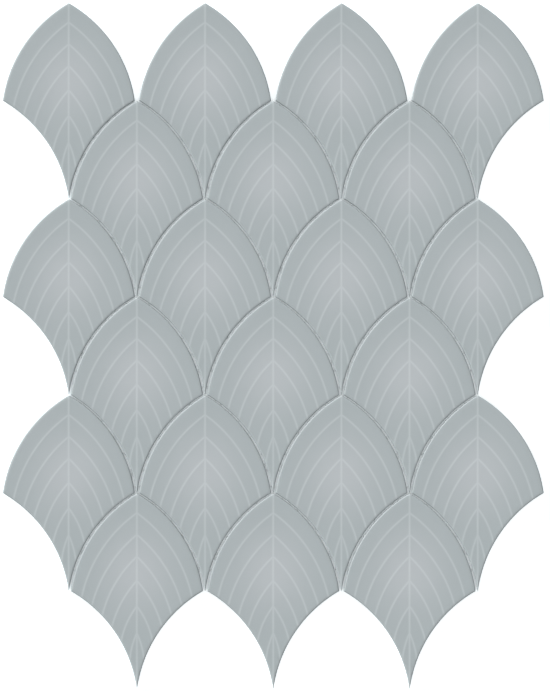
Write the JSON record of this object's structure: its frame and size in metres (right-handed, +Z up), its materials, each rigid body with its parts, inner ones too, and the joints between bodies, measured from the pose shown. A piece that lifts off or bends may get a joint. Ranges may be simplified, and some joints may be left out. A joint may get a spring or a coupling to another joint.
{
  "type": "fish scale mosaic tile sheet",
  "caption": "Mesh-backed sheet of pale grey glazed ceramic fish scale tiles in staggered rows, each with a raised leaf-vein relief.",
  "frame": {"origin": "under the middle of the sheet, on the surface that it lies on", "axes": "+Z up out of the glazed face, +Y towards the tiles' apexes, +X along a row"},
  "size_m": [0.2604, 0.33, 0.007],
  "materials": {
    "glazed_tile": "satin pale grey glaze over a pressed white body",
    "backing_mesh": "coated open glass-fibre mesh"
  },
  "bodies": {
    "root": {"tile_r1_c1": "glazed_tile", "tile_r1_c2": "glazed_tile", "tile_r1_c3": "glazed_tile", "tile_r1_c4": "glazed_tile", "tile_r2_c1": "glazed_tile", "tile_r2_c2": "glazed_tile", "tile_r2_c3": "glazed_tile", "tile_r3_c1": "glazed_tile", "tile_r3_c2": "glazed_tile", "tile_r3_c3": "glazed_tile", "tile_r3_c4": "glazed_tile", "tile_r4_c1": "glazed_tile", "tile_r4_c2": "glazed_tile", "tile_r4_c3": "glazed_tile", "tile_r5_c1": "glazed_tile", "tile_r5_c2": "glazed_tile", "tile_r5_c3": "glazed_tile", "tile_r5_c4": "glazed_tile", "tile_r6_c1": "glazed_tile", "tile_r6_c2": "glazed_tile", "tile_r6_c3": "glazed_tile", "mesh_warp_threads": "backing_mesh", "mesh_weft_threads": "backing_mesh"}
  },
  "joints": []
}
